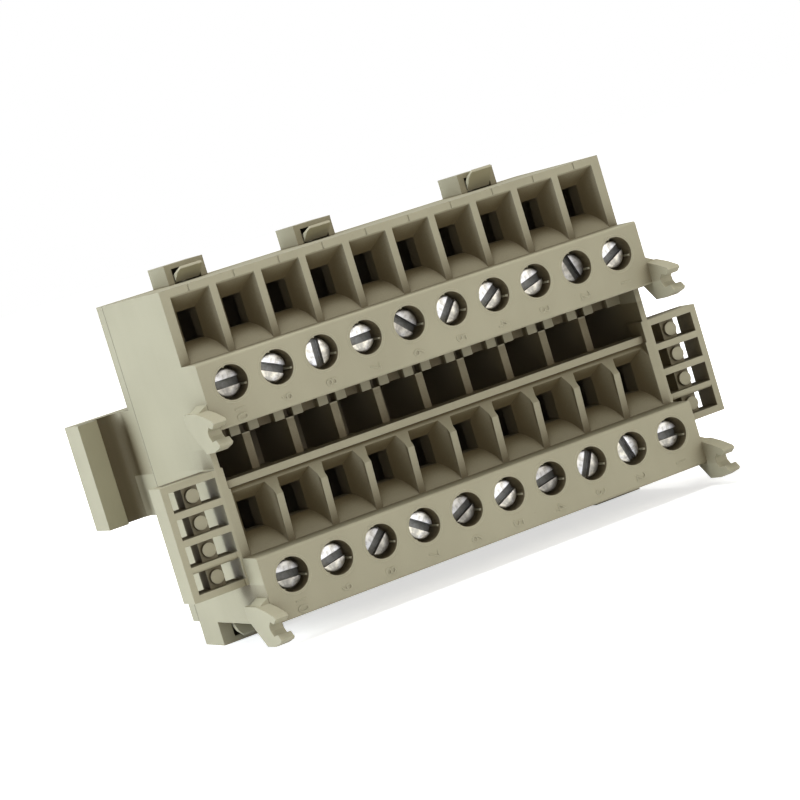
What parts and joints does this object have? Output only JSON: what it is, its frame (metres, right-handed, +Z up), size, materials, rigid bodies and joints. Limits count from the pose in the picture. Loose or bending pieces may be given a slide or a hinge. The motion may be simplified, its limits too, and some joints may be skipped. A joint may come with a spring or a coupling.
{
  "type": "feed-through terminal block",
  "caption": "Screw-clamp feed-through terminal block with stacked rows of wire funnels, slotted screws, plug pockets, side combs, corner hooks and rear feet.",
  "frame": {"origin": "middle of the flat rear face of the cover, between the two mounting feet", "axes": "+X along the rows of terminals, -Y out of the wiring side, +Z up to the upper tier"},
  "size_m": [0.076, 0.0377, 0.0462],
  "materials": {
    "housing_plastic": "fine satin moulded polyamide in a beige khaki",
    "cover_plastic": "fine satin moulded polyamide in a beige khaki",
    "zinc_plated_steel": "bright zinc plate with fine turning marks",
    "plain_steel": "plain zinc plated pressed steel",
    "tinned_copper": "dull tin plate over copper"
  },
  "bodies": {
    "base": {"housing": "housing_plastic", "rear_cover": "cover_plastic", "current_bar_01": "tinned_copper", "current_bar_02": "tinned_copper", "current_bar_03": "tinned_copper", "current_bar_04": "tinned_copper", "current_bar_05": "tinned_copper", "current_bar_06": "tinned_copper", "current_bar_07": "tinned_copper", "current_bar_08": "tinned_copper", "current_bar_09": "tinned_copper", "current_bar_10": "tinned_copper"},
    "upper_screw_01": {"upper_screw_01": "zinc_plated_steel"},
    "upper_clamp_01": {"upper_clamp_01": "plain_steel"},
    "upper_screw_02": {"upper_screw_02": "zinc_plated_steel"},
    "upper_clamp_02": {"upper_clamp_02": "plain_steel"},
    "upper_screw_03": {"upper_screw_03": "zinc_plated_steel"},
    "upper_clamp_03": {"upper_clamp_03": "plain_steel"},
    "upper_screw_04": {"upper_screw_04": "zinc_plated_steel"},
    "upper_clamp_04": {"upper_clamp_04": "plain_steel"},
    "upper_screw_05": {"upper_screw_05": "zinc_plated_steel"},
    "upper_clamp_05": {"upper_clamp_05": "plain_steel"},
    "upper_screw_06": {"upper_screw_06": "zinc_plated_steel"},
    "upper_clamp_06": {"upper_clamp_06": "plain_steel"},
    "upper_screw_07": {"upper_screw_07": "zinc_plated_steel"},
    "upper_clamp_07": {"upper_clamp_07": "plain_steel"},
    "upper_screw_08": {"upper_screw_08": "zinc_plated_steel"},
    "upper_clamp_08": {"upper_clamp_08": "plain_steel"},
    "upper_screw_09": {"upper_screw_09": "zinc_plated_steel"},
    "upper_clamp_09": {"upper_clamp_09": "plain_steel"},
    "upper_screw_10": {"upper_screw_10": "zinc_plated_steel"},
    "upper_clamp_10": {"upper_clamp_10": "plain_steel"},
    "lower_screw_01": {"lower_screw_01": "zinc_plated_steel"},
    "lower_clamp_01": {"lower_clamp_01": "plain_steel"},
    "lower_screw_02": {"lower_screw_02": "zinc_plated_steel"},
    "lower_clamp_02": {"lower_clamp_02": "plain_steel"},
    "lower_screw_03": {"lower_screw_03": "zinc_plated_steel"},
    "lower_clamp_03": {"lower_clamp_03": "plain_steel"},
    "lower_screw_04": {"lower_screw_04": "zinc_plated_steel"},
    "lower_clamp_04": {"lower_clamp_04": "plain_steel"},
    "lower_screw_05": {"lower_screw_05": "zinc_plated_steel"},
    "lower_clamp_05": {"lower_clamp_05": "plain_steel"},
    "lower_screw_06": {"lower_screw_06": "zinc_plated_steel"},
    "lower_clamp_06": {"lower_clamp_06": "plain_steel"},
    "lower_screw_07": {"lower_screw_07": "zinc_plated_steel"},
    "lower_clamp_07": {"lower_clamp_07": "plain_steel"},
    "lower_screw_08": {"lower_screw_08": "zinc_plated_steel"},
    "lower_clamp_08": {"lower_clamp_08": "plain_steel"},
    "lower_screw_09": {"lower_screw_09": "zinc_plated_steel"},
    "lower_clamp_09": {"lower_clamp_09": "plain_steel"},
    "lower_screw_10": {"lower_screw_10": "zinc_plated_steel"},
    "lower_clamp_10": {"lower_clamp_10": "plain_steel"}
  },
  "joints": [
    {"name": "upper_screw_01_turn", "type": "hinge", "parent": "base", "child": "upper_screw_01", "pos_m": [-0.027, -0.02455, 0.00802], "axis": [0, 1, 0], "range_deg": [0, 2160]},
    {"name": "upper_clamp_01_travel", "type": "slide", "parent": "base", "child": "upper_clamp_01", "axis": [0, -1, 0], "range_m": [0, 0.003]},
    {"name": "upper_screw_02_turn", "type": "hinge", "parent": "base", "child": "upper_screw_02", "pos_m": [-0.021, -0.02455, 0.00802], "axis": [0, 1, 0], "range_deg": [0, 2160]},
    {"name": "upper_clamp_02_travel", "type": "slide", "parent": "base", "child": "upper_clamp_02", "axis": [0, -1, 0], "range_m": [0, 0.003]},
    {"name": "upper_screw_03_turn", "type": "hinge", "parent": "base", "child": "upper_screw_03", "pos_m": [-0.015, -0.02455, 0.00802], "axis": [0, 1, 0], "range_deg": [0, 2160]},
    {"name": "upper_clamp_03_travel", "type": "slide", "parent": "base", "child": "upper_clamp_03", "axis": [0, -1, 0], "range_m": [0, 0.003]},
    {"name": "upper_screw_04_turn", "type": "hinge", "parent": "base", "child": "upper_screw_04", "pos_m": [-0.009, -0.02455, 0.00802], "axis": [0, 1, 0], "range_deg": [0, 2160]},
    {"name": "upper_clamp_04_travel", "type": "slide", "parent": "base", "child": "upper_clamp_04", "axis": [0, -1, 0], "range_m": [0, 0.003]},
    {"name": "upper_screw_05_turn", "type": "hinge", "parent": "base", "child": "upper_screw_05", "pos_m": [-0.003, -0.02455, 0.00802], "axis": [0, 1, 0], "range_deg": [0, 2160]},
    {"name": "upper_clamp_05_travel", "type": "slide", "parent": "base", "child": "upper_clamp_05", "axis": [0, -1, 0], "range_m": [0, 0.003]},
    {"name": "upper_screw_06_turn", "type": "hinge", "parent": "base", "child": "upper_screw_06", "pos_m": [0.003, -0.02455, 0.00802], "axis": [0, 1, 0], "range_deg": [0, 2160]},
    {"name": "upper_clamp_06_travel", "type": "slide", "parent": "base", "child": "upper_clamp_06", "axis": [0, -1, 0], "range_m": [0, 0.003]},
    {"name": "upper_screw_07_turn", "type": "hinge", "parent": "base", "child": "upper_screw_07", "pos_m": [0.009, -0.02455, 0.00802], "axis": [0, 1, 0], "range_deg": [0, 2160]},
    {"name": "upper_clamp_07_travel", "type": "slide", "parent": "base", "child": "upper_clamp_07", "axis": [0, -1, 0], "range_m": [0, 0.003]},
    {"name": "upper_screw_08_turn", "type": "hinge", "parent": "base", "child": "upper_screw_08", "pos_m": [0.015, -0.02455, 0.00802], "axis": [0, 1, 0], "range_deg": [0, 2160]},
    {"name": "upper_clamp_08_travel", "type": "slide", "parent": "base", "child": "upper_clamp_08", "axis": [0, -1, 0], "range_m": [0, 0.003]},
    {"name": "upper_screw_09_turn", "type": "hinge", "parent": "base", "child": "upper_screw_09", "pos_m": [0.021, -0.02455, 0.00802], "axis": [0, 1, 0], "range_deg": [0, 2160]},
    {"name": "upper_clamp_09_travel", "type": "slide", "parent": "base", "child": "upper_clamp_09", "axis": [0, -1, 0], "range_m": [0, 0.003]},
    {"name": "upper_screw_10_turn", "type": "hinge", "parent": "base", "child": "upper_screw_10", "pos_m": [0.027, -0.02455, 0.00802], "axis": [0, 1, 0], "range_deg": [0, 2160]},
    {"name": "upper_clamp_10_travel", "type": "slide", "parent": "base", "child": "upper_clamp_10", "axis": [0, -1, 0], "range_m": [0, 0.003]},
    {"name": "lower_screw_01_turn", "type": "hinge", "parent": "base", "child": "lower_screw_01", "pos_m": [-0.027, -0.025, -0.01533], "axis": [0, 1, 0], "range_deg": [0, 2160]},
    {"name": "lower_clamp_01_travel", "type": "slide", "parent": "base", "child": "lower_clamp_01", "axis": [0, -1, 0], "range_m": [0, 0.003]},
    {"name": "lower_screw_02_turn", "type": "hinge", "parent": "base", "child": "lower_screw_02", "pos_m": [-0.021, -0.025, -0.01533], "axis": [0, 1, 0], "range_deg": [0, 2160]},
    {"name": "lower_clamp_02_travel", "type": "slide", "parent": "base", "child": "lower_clamp_02", "axis": [0, -1, 0], "range_m": [0, 0.003]},
    {"name": "lower_screw_03_turn", "type": "hinge", "parent": "base", "child": "lower_screw_03", "pos_m": [-0.015, -0.025, -0.01533], "axis": [0, 1, 0], "range_deg": [0, 2160]},
    {"name": "lower_clamp_03_travel", "type": "slide", "parent": "base", "child": "lower_clamp_03", "axis": [0, -1, 0], "range_m": [0, 0.003]},
    {"name": "lower_screw_04_turn", "type": "hinge", "parent": "base", "child": "lower_screw_04", "pos_m": [-0.009, -0.025, -0.01533], "axis": [0, 1, 0], "range_deg": [0, 2160]},
    {"name": "lower_clamp_04_travel", "type": "slide", "parent": "base", "child": "lower_clamp_04", "axis": [0, -1, 0], "range_m": [0, 0.003]},
    {"name": "lower_screw_05_turn", "type": "hinge", "parent": "base", "child": "lower_screw_05", "pos_m": [-0.003, -0.025, -0.01533], "axis": [0, 1, 0], "range_deg": [0, 2160]},
    {"name": "lower_clamp_05_travel", "type": "slide", "parent": "base", "child": "lower_clamp_05", "axis": [0, -1, 0], "range_m": [0, 0.003]},
    {"name": "lower_screw_06_turn", "type": "hinge", "parent": "base", "child": "lower_screw_06", "pos_m": [0.003, -0.025, -0.01533], "axis": [0, 1, 0], "range_deg": [0, 2160]},
    {"name": "lower_clamp_06_travel", "type": "slide", "parent": "base", "child": "lower_clamp_06", "axis": [0, -1, 0], "range_m": [0, 0.003]},
    {"name": "lower_screw_07_turn", "type": "hinge", "parent": "base", "child": "lower_screw_07", "pos_m": [0.009, -0.025, -0.01533], "axis": [0, 1, 0], "range_deg": [0, 2160]},
    {"name": "lower_clamp_07_travel", "type": "slide", "parent": "base", "child": "lower_clamp_07", "axis": [0, -1, 0], "range_m": [0, 0.003]},
    {"name": "lower_screw_08_turn", "type": "hinge", "parent": "base", "child": "lower_screw_08", "pos_m": [0.015, -0.025, -0.01533], "axis": [0, 1, 0], "range_deg": [0, 2160]},
    {"name": "lower_clamp_08_travel", "type": "slide", "parent": "base", "child": "lower_clamp_08", "axis": [0, -1, 0], "range_m": [0, 0.003]},
    {"name": "lower_screw_09_turn", "type": "hinge", "parent": "base", "child": "lower_screw_09", "pos_m": [0.021, -0.025, -0.01533], "axis": [0, 1, 0], "range_deg": [0, 2160]},
    {"name": "lower_clamp_09_travel", "type": "slide", "parent": "base", "child": "lower_clamp_09", "axis": [0, -1, 0], "range_m": [0, 0.003]},
    {"name": "lower_screw_10_turn", "type": "hinge", "parent": "base", "child": "lower_screw_10", "pos_m": [0.027, -0.025, -0.01533], "axis": [0, 1, 0], "range_deg": [0, 2160]},
    {"name": "lower_clamp_10_travel", "type": "slide", "parent": "base", "child": "lower_clamp_10", "axis": [0, -1, 0], "range_m": [0, 0.003]}
  ],
  "couplings": [
    {"joint": "upper_screw_01_turn", "follows": "upper_clamp_01_travel", "rad_per_m": 12566},
    {"joint": "upper_screw_02_turn", "follows": "upper_clamp_02_travel", "rad_per_m": 12566},
    {"joint": "upper_screw_03_turn", "follows": "upper_clamp_03_travel", "rad_per_m": 12566},
    {"joint": "upper_screw_04_turn", "follows": "upper_clamp_04_travel", "rad_per_m": 12566},
    {"joint": "upper_screw_05_turn", "follows": "upper_clamp_05_travel", "rad_per_m": 12566},
    {"joint": "upper_screw_06_turn", "follows": "upper_clamp_06_travel", "rad_per_m": 12566},
    {"joint": "upper_screw_07_turn", "follows": "upper_clamp_07_travel", "rad_per_m": 12566},
    {"joint": "upper_screw_08_turn", "follows": "upper_clamp_08_travel", "rad_per_m": 12566},
    {"joint": "upper_screw_09_turn", "follows": "upper_clamp_09_travel", "rad_per_m": 12566},
    {"joint": "upper_screw_10_turn", "follows": "upper_clamp_10_travel", "rad_per_m": 12566},
    {"joint": "lower_screw_01_turn", "follows": "lower_clamp_01_travel", "rad_per_m": 12566},
    {"joint": "lower_screw_02_turn", "follows": "lower_clamp_02_travel", "rad_per_m": 12566},
    {"joint": "lower_screw_03_turn", "follows": "lower_clamp_03_travel", "rad_per_m": 12566},
    {"joint": "lower_screw_04_turn", "follows": "lower_clamp_04_travel", "rad_per_m": 12566},
    {"joint": "lower_screw_05_turn", "follows": "lower_clamp_05_travel", "rad_per_m": 12566},
    {"joint": "lower_screw_06_turn", "follows": "lower_clamp_06_travel", "rad_per_m": 12566},
    {"joint": "lower_screw_07_turn", "follows": "lower_clamp_07_travel", "rad_per_m": 12566},
    {"joint": "lower_screw_08_turn", "follows": "lower_clamp_08_travel", "rad_per_m": 12566},
    {"joint": "lower_screw_09_turn", "follows": "lower_clamp_09_travel", "rad_per_m": 12566},
    {"joint": "lower_screw_10_turn", "follows": "lower_clamp_10_travel", "rad_per_m": 12566}
  ]
}
